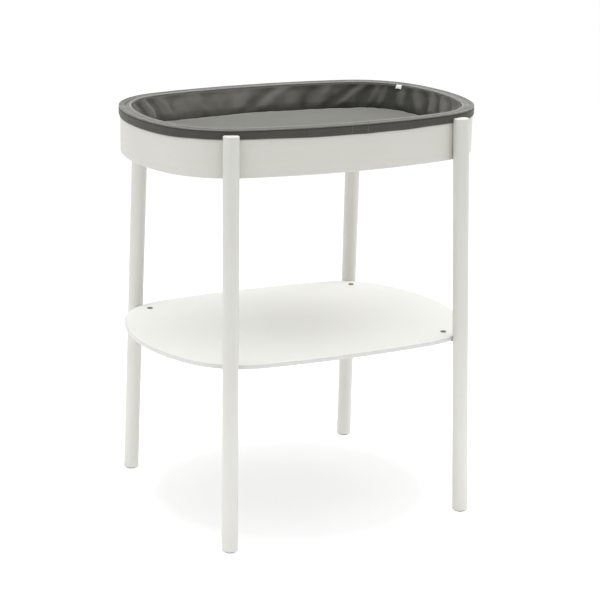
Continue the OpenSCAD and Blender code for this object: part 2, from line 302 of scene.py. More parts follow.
def painted(name, light, dark, rough, grain, grain_strength=0.12, bevel=0.0008,
            side=1.0, top=1.0, low=1.0, high=1.0):
    """Satin paint over wood: a faint long grain, a fine skin like orange peel and slow shifts of tone.
    side, top, low and high say how bright it is on upright faces, on faces that look up, low down and high up:
    painted light and shade, as the light falls there."""
    m = Mat(name)
    slow = m.noise(m.coords(), 3.2, 3, 0.5)
    g = m.noise(m.coords(scale=grain), 1.0, 6, 0.6, 0.4)
    peel = m.noise(m.coords(), 900.0, 2, 0.5)
    tone = m.math("ADD", m.math("MULTIPLY", slow, 0.6), m.math("MULTIPLY", g, 0.4))
    colour = m.ramp(tone, [(0.30, srgb(dark)), (0.66, srgb(light))])
    # painted light and shade: faces that look up get the brightness top and upright faces the brightness side, as
    # light from above falls on them
    geo = m.node("ShaderNodeNewGeometry")
    split = m.node("ShaderNodeSeparateXYZ")
    m.link(geo.outputs["Normal"], split.inputs[0])
    level = m.math("POWER", m.math("MAXIMUM", split.outputs[2], 0.0), 4.0)
    shade = m.ramp(level, [(0.0, (side, side, side)), (1.0, (top, top, top))])
    colour = m.mix(1.0, colour, shade, "MULTIPLY")
    # painted light and shade: the brightness goes from low near the floor to high further up, as the light falls
    # on it
    if low != high:
        rise = m.node("ShaderNodeSeparateXYZ")
        m.link(m.coords(), rise.inputs[0])
        stops = [(0.05, (low,) * 3), (0.3, ((low * 2 + high) / 3,) * 3), (0.85, (high,) * 3)]
        colour = m.mix(1.0, colour, m.ramp(rise.outputs[2], stops), "MULTIPLY")
    rr = m.math("ADD", m.math("MULTIPLY", g, 0.12), rough - 0.06)
    height = m.math("ADD", m.math("MULTIPLY", g, 1.0), m.math("MULTIPLY", peel, 0.35))
    edge = m.node("ShaderNodeBevel", samples=4)
    edge.inputs["Radius"].default_value = bevel
    n = m.bump(height, grain_strength, 0.0004, edge.outputs[0])
    m.set(Base_Color=colour, Roughness=rr, Normal=n, Specular_IOR_Level=0.42)
    return m.m


def metal(name, light, dark, rough, metallic=1.0, bevel=0.0003):
    """Plated or coated metal, or dull plastic when metallic is 0: a fine mottle and softened edges."""
    m = Mat(name)
    v = m.coords()
    n1 = m.noise(v, 420.0, 4, 0.6)
    n2 = m.noise(v, 35.0, 3, 0.5)
    colour = m.ramp(m.math("ADD", m.math("MULTIPLY", n1, 0.5), m.math("MULTIPLY", n2, 0.5)),
                    [(0.3, srgb(dark)), (0.7, srgb(light))])
    rr = m.math("ADD", m.math("MULTIPLY", n2, 0.18), rough - 0.09)
    edge = m.node("ShaderNodeBevel", samples=4)
    edge.inputs["Radius"].default_value = bevel
    normal = m.bump(n1, 0.10, 0.0002, edge.outputs[0])
    m.set(Base_Color=colour, Roughness=rr, Metallic=metallic, Normal=normal)
    return m.m


def cloth(name, light, dark, pitch, uv, sheen, sheen_rough=0.45, sheen_tint="#ffffff", depth=0.30,
          fleck=0.5, nap_shade=None):
    """A plain weave: warp and weft threads, flecked yarn, a slow shift of shade and a soft sheen."""
    m = Mat(name)
    v = m.coords(uv=uv)
    scale = 0.159 / pitch
    warp = m.threads(v, scale, "X")
    weft = m.threads(v, scale, "Y")
    if not uv:
        third = m.threads(v, scale, "Z")
        weave = m.math("MULTIPLY", m.math("ADD", m.math("ADD", warp, weft), third), 0.333)
    else:
        weave = m.math("MULTIPLY", m.math("ADD", warp, weft), 0.5)
    flecks = m.noise(v, 1 / 0.0016, 3, 0.7)
    slow = m.noise(v, 14.0, 4, 0.55)
    rest = 0.5 * (1 - fleck)
    shades = m.math("ADD", m.math("MULTIPLY", weave, rest), m.math("MULTIPLY", slow, rest))
    tone = m.math("ADD", m.math("MULTIPLY", flecks, fleck), shades)
    colour = m.ramp(tone, [(0.28, srgb(dark)), (0.72, srgb(light))])
    if nap_shade:
        # painted sheen and shade: the attribute makes the cloth lighter or darker as light falls on it, and the
        # cloud adds patches of tone
        at = m.node("ShaderNodeAttribute", attribute_name="nap_shade")
        cloud = m.noise(m.coords(), 34.0, 5, 0.62, 0.6)
        level = m.math("ADD", m.math("MULTIPLY", at.outputs["Fac"], 0.86), m.math("MULTIPLY", cloud, 0.28))
        colour = m.mix(1.0, colour, m.ramp(level, [(0.12, (nap_shade[0],) * 3), (1.0, (nap_shade[1],) * 3)]), "MULTIPLY")
    height = m.math("ADD", weave, m.math("MULTIPLY", flecks, 0.6))
    m.set(Base_Color=colour, Roughness=0.82, Normal=m.bump(height, depth, 0.0004), Sheen_Weight=sheen,
          Sheen_Roughness=sheen_rough, Sheen_Tint=srgb(sheen_tint), Specular_IOR_Level=0.25)
    return m.m


MATS = {
    # painted light and shade on the legs: darker upright faces, lighter tops and darker high up
    "paint_leg": painted("paint_leg", "#f4f4ed", "#eeede6", 0.40, grain=(160, 160, 9),
                         side=0.80, top=1.07, high=0.865),
    "paint_hoop": painted("paint_hoop", "#cecdc7", "#c8c6bf", 0.38, grain=(14, 14, 130)),
    "paint_panel": painted("paint_panel", "#d5d3cd", "#cbcac2", 0.5, grain=(8, 120, 120)),
    # painted shade on the shelf: darker upright edges
    "paint_shelf": painted("paint_shelf", "#f6f6f2", "#f2f2ee", 0.36, grain=(9, 130, 130),
                           grain_strength=0.08, side=0.72),
    "steel_dark": metal("steel_dark", "#4a4a48", "#2d2d2c", 0.5, 0.7),
    "steel_bright": metal("steel_bright", "#b9b9b6", "#8f8f8c", 0.34),
    "bolt_dark": metal("bolt_dark", "#a2a19d", "#74736f", 0.42, 0.7),
    "brass": metal("brass", "#b39457", "#8b6f3c", 0.36),
    "glide": metal("glide", "#4b4b49", "#2f2f2e", 0.75, 0.0),
}


def paint_node(name, mat):
    """Gives a CAD node one material."""
    o = nodes[name]
    o.data.materials.clear()
    o.data.materials.append(mat)
    for p in o.data.polygons:
        p.material_index = 0


for name in nodes:
    if name.startswith("leg_") and name not in ("leg_inserts", "leg_bolts"):
        paint_node(name, MATS["paint_leg"])
    elif name == "top_hoop":
        paint_node(name, MATS["paint_hoop"])
    elif name == "base_panel":
        paint_node(name, MATS["paint_panel"])
    elif name == "shelf_board":
        paint_node(name, MATS["paint_shelf"])
    elif name.startswith(("hoop_bracket", "shelf_bracket")):
        paint_node(name, MATS["steel_dark"])
    elif name == "leg_inserts":
        paint_node(name, MATS["brass"])
    elif name == "shelf_bolts":
        paint_node(name, MATS["bolt_dark"])
    elif name.startswith("glide_") and name != "glide_nails":
        paint_node(name, MATS["glide"])
    elif name in ("leg_bolts", "panel_screws", "bracket_screws", "glide_nails"):
        paint_node(name, MATS["steel_bright"])

# ---------------------------------------------------------------- the liner's rim

# one cloth in shaded and lit copies: painted shade on the band's upright outside, painted light on the lip's
# inner face, the top between them
band_cloth_shaded = cloth("band_cloth_shaded", "#53524d", "#383733", 0.0009, True, sheen=0.20, sheen_rough=0.4, depth=0.25)
top_cloth = cloth("top_cloth", "#62615b", "#47463f", 0.0009, True, sheen=0.95, sheen_rough=0.33, depth=0.25)
lip_cloth_lit = cloth("lip_cloth_lit", "#8a8983", "#6a6964", 0.0009, True, sheen=0.9, sheen_rough=0.35, depth=0.25)
# the wall's cloth is made lighter and darker by its attribute: painted sheen and shade
wall_cloth = cloth("wall_cloth", "#82817a", "#595852", 0.0009, True, sheen=0.5, sheen_rough=0.35, depth=0.2,
                   nap_shade=(0.22, 0.78))
pad_cloth = cloth("pad_cloth", "#65655f", "#4b4b46", 0.0010, False, sheen=0.76, sheen_rough=0.35,
                  sheen_tint="#fbfbf2", depth=0.2)
floor_cloth = cloth("floor_cloth", "#4b4a45", "#31302c", 0.0009, False, sheen=0.6, sheen_rough=0.35,
                    depth=0.2)
pipe_cloth = cloth("pipe_cloth", "#7b7a74", "#5b5a54", 0.0007, True, sheen=1.0, sheen_rough=0.3, depth=0.2)
# painted highlight: the piping cloth made lighter, for the sheen along the inner seam
inner_pipe_cloth_lit = cloth("inner_pipe_cloth_lit", "#a3a29c", "#7d7c76", 0.0007, True, sheen=1.0, sheen_rough=0.3,
                         depth=0.2)
thread_cloth = cloth("thread_cloth", "#6a6963", "#4c4b46", 0.0005, False, sheen=0.6, sheen_rough=0.3,
                     depth=0.15)
tag_cloth = cloth("tag_cloth", "#f4f4f1", "#e2e2de", 0.0006, False, sheen=0.2, depth=0.15, fleck=0.3)


def ring_from_profile(name, profile, nu, displace):
    """A closed tube round the hoop from a closed section of (offset, height above the hoop's top) in mm."""
    prof = np.asarray(profile, float)
    s = np.arange(nu) / nu
    p, n = oval.at(s)
    d = np.repeat(prof[None, :, 0], nu, 0) * MM
    z = np.repeat(prof[None, :, 1], nu, 0) * MM + HOOP_TOP
    dd, dz = displace(s, prof)
    d = d + dd * MM
    z = z + dz * MM
    xy = p[:, None, :] + n[:, None, :] * d[:, :, None]
    verts = np.concatenate([xy, z[:, :, None]], -1)
    ob = new_object(name, verts, loop_grid(nu, len(prof), True))
    run = np.concatenate([[0], np.cumsum(np.linalg.norm(np.diff(prof, axis=0), axis=1))]) * MM
    uv = np.stack([np.repeat(s[:, None], len(prof), 1) * oval.length, np.repeat(run[None, :], nu, 0)], -1)
    add_uv(ob, uv.reshape(-1, 2))
    return ob


def resample(points, step):
    """Points along a closed polyline about a step apart."""
    pts = np.asarray(points + points[:1], float)
    seg = np.linalg.norm(np.diff(pts, axis=0), axis=1)
    run = np.concatenate([[0], np.cumsum(seg)])
    n = int(round(run[-1] / step))
    t = np.arange(n) * run[-1] / n
    return np.stack([np.interp(t, run, pts[:, 0]), np.interp(t, run, pts[:, 1])], -1)


# The rim's section, as (offset from the hoop's outside face, height above its top) in mm
RIM_SECTION = [
    (2.2, 0.4), (2.8, 1.0), (3.1, 4), (3.3, 8), (3.3, 12), (3.1, 15.0), (1.4, 16.6), (1.4, 17.4), (1.2, 18.6),
    (-0.6, 19.3), (-3, 19.3), (-6, 19.0), (-9, 18.8), (-12, 19.0), (-15, 19.4), (-18, 19.7), (-20.4, 19.5),
    (-22.3, 18.5), (-23.2, 16.8), (-23.3, 14.6), (-22.7, 11.6), (-21.4, 7), (-18, 2), (-15.2, -1),
    (-14.9, -9.5), (-13.2, -9.5), (-12.9, -0.6), (-12.4, 0.4), (-5, 0.5),
]
# The gathers' spacing in m, where the rim is gathered and how far that reaches, as a share of the way round
GATHER_PITCH = 0.0085
PUCKERS = [(oval.near(0.30, 0.20), 0.050), (oval.near(-0.33, 0.16), 0.030)]
LEG_AT = [oval.near(x * 0.28, y * 0.245) for x in (-1, 1) for y in (-1, 1)]


def back_rise(p):
    """How much higher the rim is puffed along the back, in mm: most at the back right corner."""
    return np.clip(p[:, 1] / 0.26, 0, 1) ** 1.5 * (0.7 + 1.4 * np.clip(p[:, 0] / 0.3, 0, 1))


def hem_drop(s):
    """How far the band's lower hem hangs over the hoop's outside face, in mm: it is caught up at the legs."""
    k = sum(bump(s, c, 0.075) for c in LEG_AT)
    return 2.6 * np.clip(1 - 1.5 * k, 0, 1)


def rim_shape(s, prof):
    """How far the rim's skin moves from its even section, in mm: outward and up."""
    nu, nv = len(s), len(prof)
    dd, dz = np.zeros((nu, nv)), np.zeros((nu, nv))
    d, z = prof[:, 0], prof[:, 1]
    soft = smooth_noise((nu, nv), (90, 4), 11)
    fine = smooth_noise((nu, nv), (400, 7), 12)
    outer = (d > 1.5)[None, :]
    top = ((z > 11) & (d < 1.5))[None, :]
    dd += outer * (0.40 * soft + 0.10 * fine)
    dz += top * (0.45 * soft + 0.14 * fine)
    # the hem hangs a little over the hoop's outside face between the legs
    low = np.where((d > 1.8) & (z < 4), (4 - z) / 3.6, 0.0)[None, :]
    dz -= low * (hem_drop(s) + 0.35 * smooth_noise((nu, 2), (60, 1), 13)[:, :1].T[0])[:, None]
    p, _ = oval.at(s)
    dz += (z > 11)[None, :] * back_rise(p)[:, None]
    # a seam runs along the top: shallow, and drawn in deep where the cloth is gathered
    pulled = np.clip(sum(bump(s, c, w) for c, w in PUCKERS), 0, 1)[:, None]
    groove = np.exp(-((d + 7.5) / 2.6) ** 2)[None, :] * top
    dz -= groove * (0.5 + 3.6 * pulled)
    rng = np.random.default_rng(5)
    phase = np.cumsum(rng.uniform(0.7, 1.3, nu))
    gather = np.sin(phase * 2 * math.pi * (oval.length / nu) / GATHER_PITCH)[:, None]
    both = (np.exp(-((d + 11.5) / 3.5) ** 2) + 0.6 * np.exp(-((d + 3.5) / 2.5) ** 2))[None, :] * top
    dz += both * (0.10 + 1.35 * pulled) * gather
    dd += groove * (0.1 + 0.8 * pulled) * np.roll(gather, 2)
    return dd, dz


rim = ring_from_profile("rim_cover_soft", resample(RIM_SECTION, 1.6), 1700, rim_shape)
rim.data.materials.append(top_cloth)
rim.data.materials.append(band_cloth_shaded)
rim.data.materials.append(lip_cloth_lit)
# painted shade and light: outward upright faces get the darker band cloth, inward faces higher up the lighter lip
# cloth
for poly in rim.data.polygons:
    c = poly.center
    if poly.normal.xy.length > 0.75 and poly.normal.xy.dot(c.xy) > 0 and c.z < HOOP_TOP + 17.4 * MM:
        poly.material_index = 1
    elif poly.normal.xy.length > 0.45 and poly.normal.xy.dot(c.xy) < 0 and c.z > HOOP_TOP + 8 * MM:
        poly.material_index = 2
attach(rim, "liner")
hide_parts("rim_cover", "rim_core")

# ---------------------------------------------------------------- piping and stitches on the rim


def ring_tube(name, d_mm, z_mm, radius, sides, waver, seed):
    """A cord of cloth round the rim, at an offset from the hoop's outside face and a height above its top."""
    nu = 900
    s = np.arange(nu) / nu
    p, n = oval.at(s)
    t = np.arange(sides) / sides * 2 * math.pi
    w = smooth_noise((nu, 2), (160, 1), seed)[:, 0] * waver
    back = back_rise(p)
    d = (d_mm + radius * np.cos(t))[None, :] + w[:, None]
    z = (z_mm + radius * np.sin(t))[None, :] + (0.6 * w + back)[:, None]
    xy = p[:, None, :] + n[:, None, :] * d[:, :, None] * MM
    zz = (HOOP_TOP + z * MM)[:, :, None]
    ob = new_object(name, np.concatenate([xy, zz], -1), loop_grid(nu, sides, True))
    uv = np.stack([np.repeat(s[:, None], sides, 1) * oval.length,
                   np.repeat(t[None, :] * radius * MM, nu, 0)], -1)
    add_uv(ob, uv.reshape(-1, 2))
    return ob


pipe = ring_tube("rim_piping", d_mm=2.3, z_mm=18.6, radius=1.1, sides=10, waver=0.12, seed=21)
pipe.data.materials.append(pipe_cloth)
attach(pipe, "liner")
inner_pipe = ring_tube("rim_inner_seam", d_mm=-22.3, z_mm=18.3, radius=1.6, sides=10, waver=0.10, seed=22)
inner_pipe.data.materials.append(inner_pipe_cloth_lit)
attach(inner_pipe, "liner")


def stitches(name, body, mat, frames_of, pitch, length, radius):
    """Short raised threads. frames_of(s) gives points, directions along and the surface normals."""
    count = int(oval.length / pitch)
    s = np.arange(count) / count
    pts, along, up = frames_of(s)
    verts, faces = [], []
    shape = [(-0.5, 0.0), (-0.3, 0.8), (0.0, 1.0), (0.3, 0.8), (0.5, 0.0)]
    for i in range(count):
        q, t, u = Vector(pts[i]), Vector(along[i]), Vector(up[i])
        side = t.cross(u)
        base = len(verts)
        for a, h in shape:
            for k in range(4):
                ang = k * math.pi / 2 + math.pi / 4
                w = radius * (0.35 + 0.65 * h)
                verts.append(q + t * (a * length) + u * (radius * (0.9 * h - 0.3) + w * math.sin(ang))
                             + side * (w * math.cos(ang)))
        for j in range(len(shape) - 1):
            for k in range(4):
                a0, b0 = base + j * 4 + k, base + j * 4 + (k + 1) % 4
                faces.append((a0, b0, b0 + 4, a0 + 4))
        faces.append(tuple(base + k for k in (3, 2, 1, 0)))
        faces.append(tuple(base + 16 + k for k in (0, 1, 2, 3)))
    ob = new_object(name, verts, faces)
    ob.data.materials.append(mat)
    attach(ob, body)
    return ob


def hem_stitch_frames(s):
    """Places and directions of the stitches along the band's lower hem."""
    p, n = oval.at(s)
    z = HOOP_TOP + (4.0 - hem_drop(s) * 0.25) * MM
    pts = np.concatenate([p + n * 3.45 * MM, np.full((len(s), 1), 0.0)], -1)
    pts[:, 2] = z
    along = np.stack([-n[:, 1], n[:, 0], np.zeros(len(s))], -1)
    up = np.concatenate([n, np.zeros((len(s), 1))], -1)
    return pts, along, up


hem_stitches = stitches("rim_hem_stitches", "liner", thread_cloth, hem_stitch_frames,
                        pitch=4.8 * MM, length=3.4 * MM, radius=0.28 * MM)


# Places near the band's upright seams, and the band's outside face as heights and offsets in mm
SEAMS_NEAR = ((-0.007, -0.27), (0.031, -0.27), (0.02, 0.27))
BAND_FACE = ([0.4, 1.0, 4, 8, 12, 15.0, 16.8], [2.2, 2.8, 3.1, 3.3, 3.3, 3.1, 1.5])


def band_seams():
    """The upright seams where the band's strips of cloth meet, as narrow raised welts."""
    bottom, height, half_width, depth, rows = 0.6, 16.2, 0.75, 0.45, 15
    verts, faces = [], []
    for x, y in SEAMS_NEAR:
        p, n = oval.at(np.array([oval.near(x, y)]))
        p, n = p[0], n[0]
        t = np.array([-n[1], n[0]])
        base = len(verts)
        for j in range(rows):
            z = bottom + height * j / (rows - 1)
            d = np.interp(z, *BAND_FACE)
            for k in range(5):
                a = k / 4 * math.pi
                q = p + n * ((d + 0.30 + depth * math.sin(a)) * MM) + t * (half_width * math.cos(a) * MM)
                verts.append((q[0], q[1], HOOP_TOP + z * MM))
        for j in range(rows - 1):
            for k in range(4):
                a0 = base + j * 5 + k
                faces.append((a0, a0 + 1, a0 + 6, a0 + 5))
            a0 = base + j * 5
            faces.append((a0 + 4, a0, a0 + 5, a0 + 9))
        faces.append(tuple(base + k for k in (4, 3, 2, 1, 0)))
        top_row = base + (rows - 1) * 5
        faces.append(tuple(top_row + k for k in range(5)))
    ob = new_object("rim_band_seams", verts, faces)
    ob.data.materials.append(thread_cloth)
    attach(ob, "liner")


band_seams()

# ---------------------------------------------------------------- the liner's wall

WALL_TOP = (HOOP_TOP - FLOOR_TOP) / MM + 13.0
PAD_Z = (PAD_TOP - FLOOR_TOP) / MM
# The wall's line from the rim's lip to the floor, as (offset from the hoop's outside face, height) in mm
WALL_PATH = np.array([(-23.3, WALL_TOP + 2.5), (-25.6, WALL_TOP - 6), (-WELL_IN / MM + 3.8, PAD_Z + 9),
                      (-WELL_IN / MM + 1.3, PAD_Z - 1), (-WELL_IN / MM + 0.9, 0.6)])
WALL_NU, WALL_NV = 480, 21


def wall_rest_shape():
    """The wall without folds: positions round it, normals, offsets, slope height and grid points."""
    s = np.arange(WALL_NU) / WALL_NU
    p, n = oval.at(s)
    seg = np.linalg.norm(np.diff(WALL_PATH, axis=0), axis=1)
    run = np.concatenate([[0], np.cumsum(seg)])
    t = np.linspace(0, run[-1], WALL_NV)
    d = np.interp(t, run, WALL_PATH[:, 0])
    z = np.interp(t, run, WALL_PATH[:, 1])
    xy = p[:, None, :] + n[:, None, :] * (d * MM)[None, :, None]
    zz = np.repeat((FLOOR_TOP + z * MM)[None, :, None], WALL_NU, 0)
    return s, n, d, run[-1] * MM, np.concatenate([xy, zz], -1)


wall_s, wall_out, wall_d, wall_h, wall_rest = wall_rest_shape()
wall = new_object("liner_wall_soft", wall_rest, loop_grid(WALL_NU, WALL_NV))
add_uv(wall, np.stack([np.repeat(wall_s[:, None], WALL_NV, 1) * oval.length,
                       np.repeat(np.linspace(0, wall_h, WALL_NV)[None, :], WALL_NU, 0)], -1).reshape(-1, 2))


def slack(s):
    """Where the wall has cloth to spare: most at the back right corner, the right end and the back left."""
    places = ((0.30, 0.20, 1.0, 0.13), (0.38, -0.05, 0.8, 0.10), (-0.34, 0.15, 0.7, 0.07),
              (-0.05, 0.265, 0.35, 0.10))
    return np.clip(0.25 + sum(amount * bump(s, oval.near(x, y), width) for x, y, amount, width in places), 0, 1)


# Folds of the wall: where each starts at the rim and ends at the pad, its half width and its height in mm
FOLDS = [
    (0.172, 0.207, 0.0040, 4.2), (0.186, 0.216, 0.0045, -3.0), (0.156, 0.166, 0.0030, 3.0),
    (0.164, 0.178, 0.0034, -3.2), (0.146, 0.150, 0.0026, 2.4), (0.136, 0.129, 0.0040, -3.4),
    (0.122, 0.112, 0.0036, 3.0), (0.111, 0.098, 0.0030, -2.4), (0.100, 0.082, 0.0034, 2.8),
    (0.088, 0.066, 0.0030, -2.6), (0.074, 0.050, 0.0036, 3.4), (0.062, 0.036, 0.0034, -3.4),
    (0.050, 0.020, 0.0036, 3.4), (0.034, 0.004, 0.0032, -2.6), (0.196, 0.190, 0.0050, 1.6),
    (0.214, 0.236, 0.0050, 2.4), (0.232, 0.250, 0.0042, -2.0), (0.262, 0.300, 0.0065, 3.0),
    (0.280, 0.316, 0.0055, -2.4), (0.306, 0.330, 0.0060, 1.8), (0.330, 0.316, 0.0080, 1.6),
    (0.352, 0.372, 0.0070, -1.5), (0.376, 0.364, 0.0070, 1.8), (0.398, 0.412, 0.0050, -1.6),
    (0.420, 0.410, 0.0048, 2.6), (0.434, 0.430, 0.0036, -2.8), (0.448, 0.440, 0.0034, 3.4),
    (0.462, 0.452, 0.0030, -3.4), (0.476, 0.470, 0.0032, 3.2), (0.490, 0.486, 0.0034, -2.4),
    (0.515, 0.505, 0.0045, 2.4), (0.545, 0.556, 0.0050, 2.0), (0.572, 0.588, 0.0044, -2.0),
    (0.604, 0.596, 0.0050, 2.4), (0.640, 0.662, 0.0046, 2.6), (0.664, 0.684, 0.0040, -2.2),
    (0.702, 0.690, 0.0070, 1.8), (0.744, 0.760, 0.0060, 2.0), (0.790, 0.776, 0.0060, -1.6),
    (0.826, 0.846, 0.0070, 2.0), (0.872, 0.860, 0.0050, 2.2), (0.906, 0.926, 0.0044, 2.8),
    (0.924, 0.944, 0.0040, -2.6), (0.950, 0.964, 0.0040, 2.8), (0.974, 0.968, 0.0034, -2.4),
    (0.990, 0.996, 0.0040, 2.6),
]


def folded():
    """The wall's height over its smooth shape, in metres, from its folds."""
    v = np.linspace(0, 1, WALL_NV)[None, :]
    down = np.clip(v / 0.58, 0, 1.15)
    h = np.zeros((WALL_NU, WALL_NV))
    bend = 0.004 * smooth_noise((WALL_NU, WALL_NV), (40, 3), 33)
    for a, b, w, height in FOLDS:
        line = a + (b - a) * down
        x = (wall_s[:, None] - line + bend + 0.5) % 1.0 - 0.5
        x = x / (w * (1.0 + 0.5 * down))
        # one flank of a fold is steeper than the other
        x = np.where(x < 0, x * 1.25, x * 0.8)
        ends = np.clip(v / 0.10, 0, 1) ** 0.7 * np.clip((1.15 - down) / 0.3, 0, 1)
        h += 1.3 * height * np.exp(-x * x) * ends
    h += 0.5 * smooth_noise((WALL_NU, WALL_NV), (130, 5), 31) * np.sin(np.pi * v)
    return h * MM


def run_cloth(ob, frames, **values):
    """Runs Blender's cloth on an object and returns where its points end up."""
    scene = bpy.context.scene
    mod = ob.modifiers.new("cloth", "CLOTH")
    cs = mod.settings
    cs.quality = 6
    cs.effector_weights.gravity = values.pop("gravity", 0.0)
    mod.collision_settings.use_collision = False
    mod.collision_settings.use_self_collision = False
    for k, v in values.items():
        setattr(cs, k, v)
    mod.point_cache.frame_start = 1
    mod.point_cache.frame_end = frames
    for f in range(1, frames + 1):
        scene.frame_set(f)
    ev = ob.evaluated_get(bpy.context.evaluated_depsgraph_get())
    me = ev.to_mesh()
    co = np.empty(len(me.vertices) * 3)
    me.vertices.foreach_get("co", co)
    ev.to_mesh_clear()
    ob.modifiers.remove(mod)
    scene.frame_set(1)
    return co.reshape(-1, 3)


def simulate_wall(ob):
    """Pins the wall's top and foot and gives it more cloth than the gap between them, cut on the slant."""
    nu, nv = WALL_NU, WALL_NV
    start = wall_rest.copy()
    start[:, :, :2] -= wall_out[:, None, :] * folded()[:, :, None]
    ob.data.vertices.foreach_set("co", start.reshape(-1))
    pins = ob.vertex_groups.new(name="pins")
    pins.add([i * nv for i in range(nu)] + [i * nv + nv - 1 for i in range(nu)], 1.0, "ADD")
    # the cut cloth: longer round, taller, and slid sideways between its top and its foot
    amount = slack(wall_s)
    ob.shape_key_add(name="rest")
    cut = ob.shape_key_add(name="cut")
    slide = 0.0075 * amount * np.sin(2 * math.pi * wall_s * 17 + 2.2 * np.sin(2 * math.pi * wall_s * 3))
    v = np.linspace(1, 0, nv)[None, :]
    along = np.stack([-wall_out[:, 1], wall_out[:, 0]], -1)
    c = start.copy()
    c[:, :, :2] += along[:, None, :] * (slide[:, None] * v)[:, :, None]
    c[:, :, :2] *= 1.02
    top_z = c[:, :1, 2]
    c[:, :, 2] = top_z - (top_z - c[:, :, 2]) * (1.012 + 0.035 * amount)[:, None]
    cut.data.foreach_set("co", c.reshape(-1))
    cut.value = 0.0
    co = run_cloth(ob, 26, mass=0.12, air_damping=2.0, tension_stiffness=18, compression_stiffness=18,
                   shear_stiffness=8, bending_stiffness=0.12, vertex_group_mass="pins", pin_stiffness=1.0,
                   rest_shape_key=cut)
    ob.shape_key_clear()
    ob.vertex_groups.remove(pins)
    return co.reshape(nu, nv, 3)


def settle_wall(co):
    """Caps how far the wall's cloth moves, and keeps it off the pad and the hoop."""
    off = ((co - wall_rest)[:, :, :2] * wall_out[:, None, :]).sum(-1)
    side = (co - wall_rest)[:, :, :2] - wall_out[:, None, :] * off[:, :, None]
    z = co[:, :, 2]
    below = np.clip((PAD_TOP - z) / MM, 0, PAD_ROUND)
    inward = 0.8 + PAD_ROUND - np.sqrt(PAD_ROUND ** 2 - (PAD_ROUND - below) ** 2)
    inward = np.clip(inward, 0.8, 7.0) * MM
    outward = np.where(wall_d > -27, 1.2, 5.0)[None, :] * MM
    off = np.where(off < 0, -inward * np.tanh(-off / inward), outward * np.tanh(off / outward))
    out = np.empty_like(co)
    out[:, :, :2] = wall_rest[:, :, :2] + side + wall_out[:, None, :] * off[:, :, None]
    out[:, :, 2] = np.clip(z, FLOOR_TOP + 0.5 * MM, HOOP_TOP + 16.0 * MM)
    return out


wall_co = simulate_wall(wall)
wall_co = settle_wall(wall_co)
wall.data.vertices.foreach_set("co", wall_co.reshape(-1))
wall.data.update()


# Painted sheen and shade round the wall: positions, and how light the cloth is painted there
SHEEN_AND_SHADE = ([0.0, 0.05, 0.09, 0.13, 0.20, 0.26, 0.34, 0.42, 0.445, 0.47, 0.52, 0.60, 0.85, 1.0],
           [0.85, 0.72, 0.36, 0.20, 0.28, 0.66, 0.96, 0.98, 0.70, 0.42, 0.55, 0.60, 0.65, 0.85])


def nap_shade_of_wall(co):
    """How light the cloth is painted: painted sheen and shade round the wall, random patches of tone, and painted
    shade in the creases and towards the pad.
    """
    sheen_and_shade = np.interp(wall_s, *SHEEN_AND_SHADE)
    off = -((co - wall_rest)[:, :, :2] * wall_out[:, None, :]).sum(-1) / MM
    around = (np.roll(off, 4, 0) + np.roll(off, -4, 0) + np.roll(off, 8, 0) + np.roll(off, -8, 0)) / 4
    # painted light and shade: folds that stand out into the well lighter, the creases between them darker
    crease_shade = np.clip((off - around) / 3.0, -1, 1)
    size = (WALL_NU, WALL_NV)
    patches = smooth_noise(size, (60, 3), 35) * 0.6 + smooth_noise(size, (150, 5), 36) * 0.4
    # painted shade: darker towards the pad
    depth = np.clip(np.linspace(0, 1, WALL_NV)[None, :] - 0.18, 0, 0.45)
    return np.clip(sheen_and_shade[:, None] + 0.34 * crease_shade + 0.24 * patches - 0.8 * depth, 0, 1)


# painted sheen and shade for the wall's cloth
nap_shade = wall.data.attributes.new("nap_shade", "FLOAT", "POINT")
nap_shade.data.foreach_set("value", nap_shade_of_wall(wall_co).reshape(-1))
wall.data.materials.append(wall_cloth)
smoothen(wall)
thicken(wall, 1.1, 1.0)
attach(wall, "liner")
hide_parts("liner_wall")

# ---------------------------------------------------------------- the liner's floor


def disc_rings(edge, rings, z_of):
    """A filled oval from rings that shrink to a point, with even steps. edge is the outermost ring."""
    nu = len(edge)
    inner = [edge * (1 - k / rings) for k in range(rings)] + [np.zeros((1, 2))]
    verts = [np.concatenate([xy, z_of(xy)[:, None]], -1) for xy in inner]
    faces = []
    for k in range(rings - 1):
        for i in range(nu):
            j = (i + 1) % nu
            faces.append((k * nu + i, k * nu + j, (k + 1) * nu + j, (k + 1) * nu + i))
    last = (rings - 1) * nu
    faces += [(last + i, last + (i + 1) % nu, rings * nu) for i in range(nu)]
    return np.concatenate(verts), faces


def quilted(xy):
    """The height of the quilted floor: squares set on their corners, sewn down along their sides."""
    square = 0.055
    x, y = xy[:, 0], xy[:, 1]
    a = np.abs(np.sin(math.pi * (x + y) / (square * math.sqrt(2))))
    b = np.abs(np.sin(math.pi * (x - y) / (square * math.sqrt(2))))
    return FLOOR_TOP - 1.3 * MM + 1.2 * MM * np.minimum(a, b) ** 0.5


hoop_p, hoop_n = oval.at(np.arange(400) / 400)
lfloor = new_object("liner_floor_soft", *disc_rings(hoop_p - hoop_n * WELL_IN, 76, quilted))
lfloor.data.materials.append(floor_cloth)
thicken(lfloor, 1.0, -1.0)
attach(lfloor, "liner")
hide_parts("liner_floor")

# ---------------------------------------------------------------- the pad


